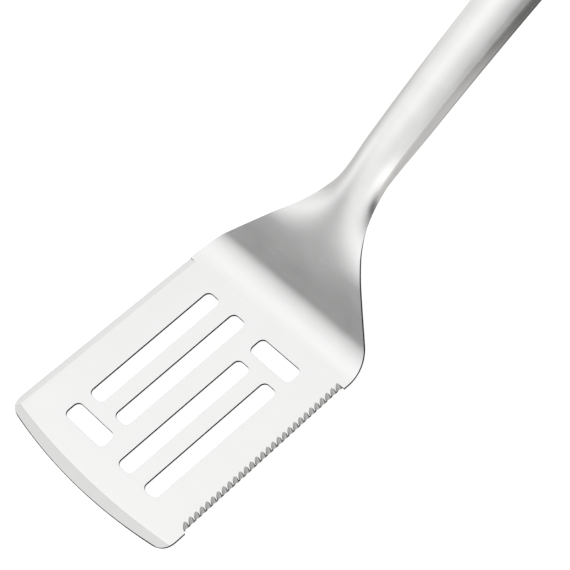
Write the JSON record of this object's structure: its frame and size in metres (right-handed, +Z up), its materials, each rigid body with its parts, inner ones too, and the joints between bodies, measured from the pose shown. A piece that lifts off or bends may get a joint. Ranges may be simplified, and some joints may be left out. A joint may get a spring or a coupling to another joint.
{
  "type": "grill spatula",
  "caption": "Long-handled grill spatula: slotted offset blade with a serrated side and a knife side, hollow oval handle, domed tail cap and a swinging wire hang loop.",
  "frame": {"origin": "on the underside of the blade, below the centre of its slot pattern", "axes": "+X from the blade towards the tail of the handle, +Y towards the knife edge, +Z up out of the blade's upper face"},
  "size_m": [0.4533, 0.0982, 0.1295],
  "materials": {
    "satin_steel": "fine satin brushing along the tool",
    "back_shell_steel": "fine satin brushing along the handle",
    "cap_steel": "fine satin brushing round the dome",
    "wire_steel": "bright drawn wire"
  },
  "bodies": {
    "turner": {"blade_sheet": "satin_steel", "handle_back_shell": "back_shell_steel", "tail_cap": "cap_steel"},
    "loop": {"hang_loop": "wire_steel"}
  },
  "joints": [
    {"name": "loop_swing", "type": "hinge", "parent": "turner", "child": "loop", "pos_m": [0.39219, 0, 0.12118], "axis": [0, -1, 0], "range_deg": [-16, 216]}
  ]
}
